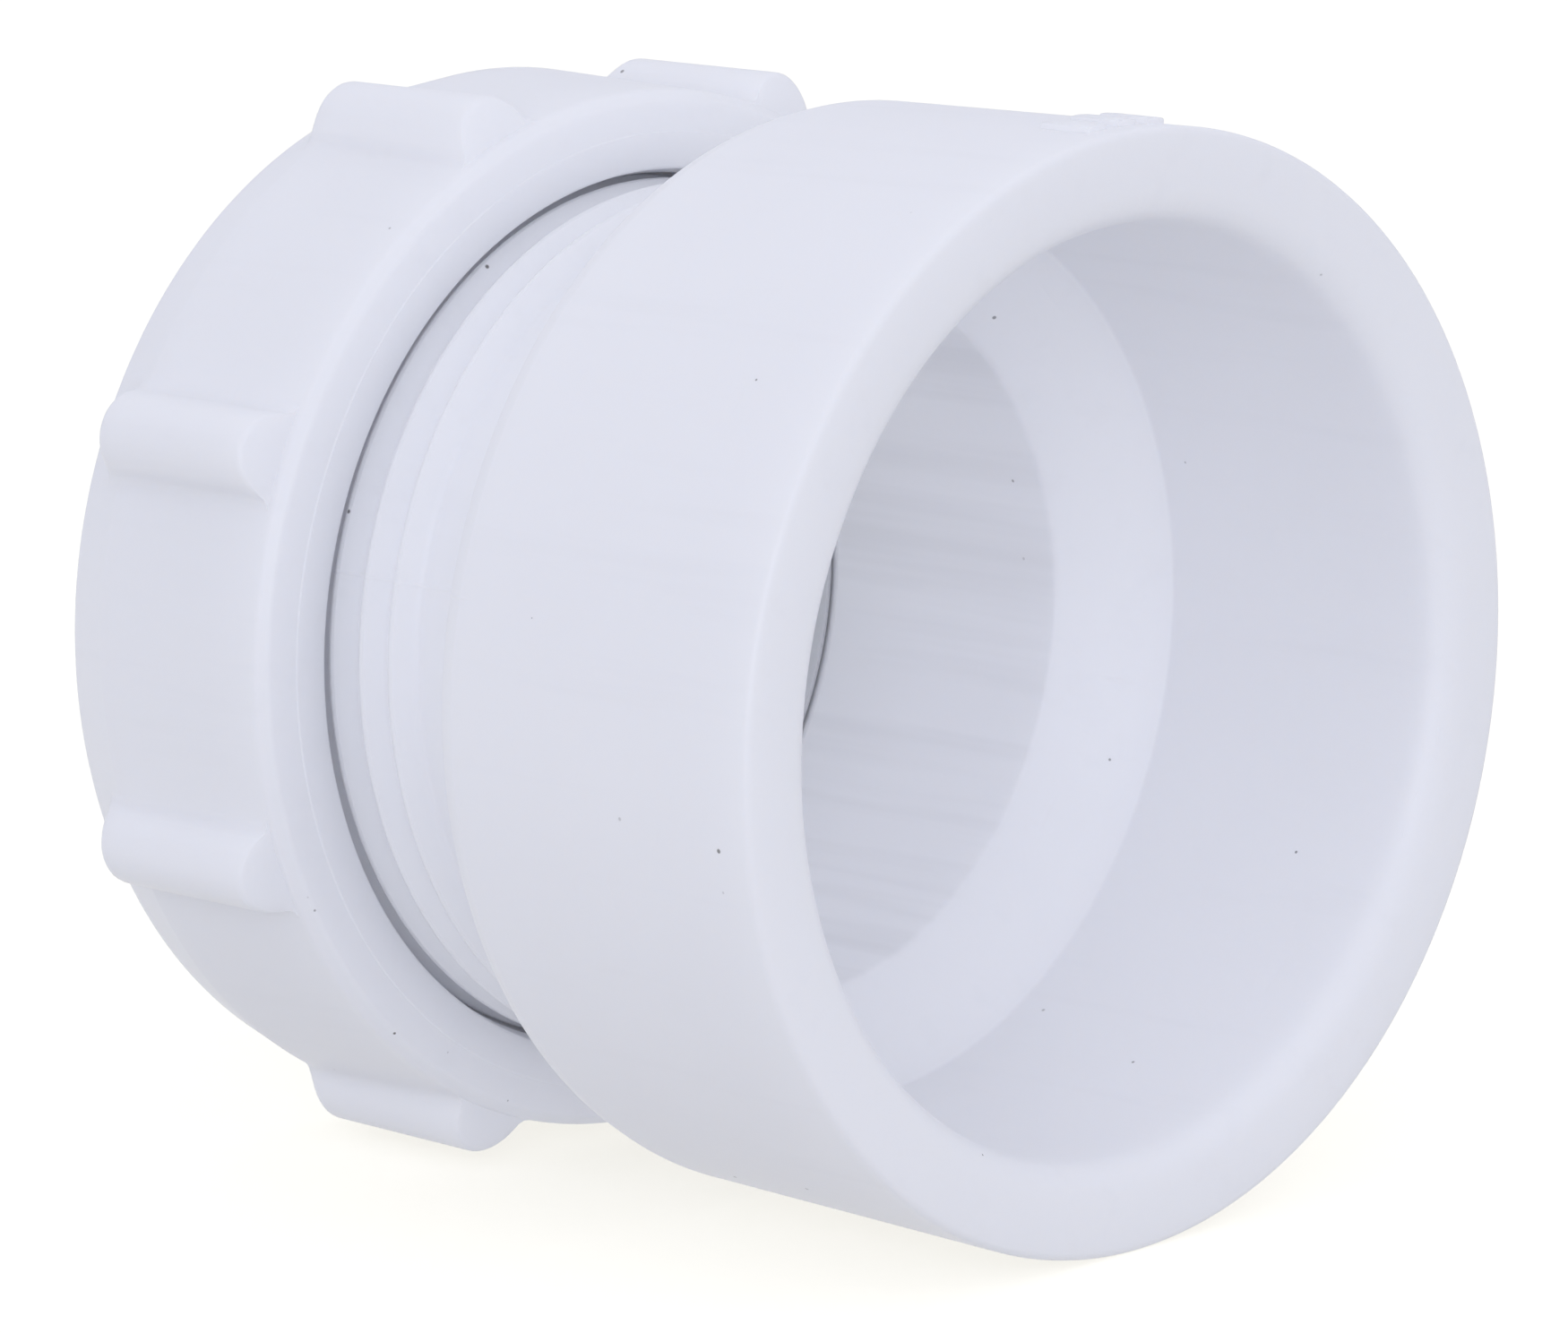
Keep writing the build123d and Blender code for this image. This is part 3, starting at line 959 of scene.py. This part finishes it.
class ADAPTER_OT_nut(bpy.types.Operator):
    """Models the lugged slip nut with its inner thread"""

    bl_idname = "adapter.nut"
    bl_label = "Lugged nut"

    def execute(self, context):
        adapter = context.scene.adapter
        piece = build_nut(adapter, context.scene.adapter_nut)
        piece.data.materials.append(moulded_pvc("nut pvc", adapter.plastic, adapter.gloss, 2))
        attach(piece, "slip_nut")
        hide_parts("slip_nut")
        return {"FINISHED"}


class ADAPTER_OT_washer(bpy.types.Operator):
    """Models the beveled washer"""

    bl_idname = "adapter.washer"
    bl_label = "Beveled washer"

    def execute(self, context):
        adapter = context.scene.adapter
        piece = build_washer(adapter)
        piece.data.materials.append(washer_poly("washer poly", adapter.washer_colour))
        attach(piece, "slip_washer")
        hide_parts("slip_washer")
        return {"FINISHED"}


class ADAPTER_OT_stage(bpy.types.Operator):
    """Lays the floor and sets the camera and lights"""

    bl_idname = "adapter.stage"
    bl_label = "Floor, camera and lights"

    def execute(self, context):
        stage = context.scene.adapter_stage
        floor = build_floor()
        floor.data.materials.append(studio_paper("floor paper", stage.paper, stage.paper_glow))
        place_camera(stage)
        light_room(stage)
        return {"FINISHED"}


class ADAPTER_PT_panel(bpy.types.Panel):
    """Lists the adapter's sizes and the operators that build it"""

    bl_idname = "ADAPTER_PT_panel"
    bl_label = "Drain adapter"
    bl_space_type = "VIEW_3D"
    bl_region_type = "UI"
    bl_category = "Drain adapter"

    def draw(self, context):
        column = self.layout.column(align=True)
        for operator in OPERATORS:
            column.operator(operator.bl_idname)
        scene = context.scene
        for group in (scene.adapter, scene.adapter_nut, scene.adapter_stage):
            box = self.layout.box()
            for key in group.bl_rna.properties.keys():
                if key not in ("rna_type", "name"):
                    box.prop(group, key)


OPERATORS = (ADAPTER_OT_body, ADAPTER_OT_nut, ADAPTER_OT_washer, ADAPTER_OT_stage)
CLASSES = (AdapterSettings, NutSettings, StageSettings) + OPERATORS + (ADAPTER_PT_panel,)


def register():
    for cls in CLASSES:
        bpy.utils.register_class(cls)
    bpy.types.Scene.adapter = bpy.props.PointerProperty(type=AdapterSettings)
    bpy.types.Scene.adapter_nut = bpy.props.PointerProperty(type=NutSettings)
    bpy.types.Scene.adapter_stage = bpy.props.PointerProperty(type=StageSettings)


def unregister():
    del bpy.types.Scene.adapter_stage
    del bpy.types.Scene.adapter_nut
    del bpy.types.Scene.adapter
    for cls in reversed(CLASSES):
        bpy.utils.unregister_class(cls)


def corners(box):
    """A box as plain lists of numbers."""
    return [list(corner) for corner in box]


def main():
    register()
    bpy.ops.adapter.body()
    bpy.ops.adapter.nut()
    bpy.ops.adapter.washer()
    bpy.ops.adapter.stage()


if __name__ == "__main__":
    main()
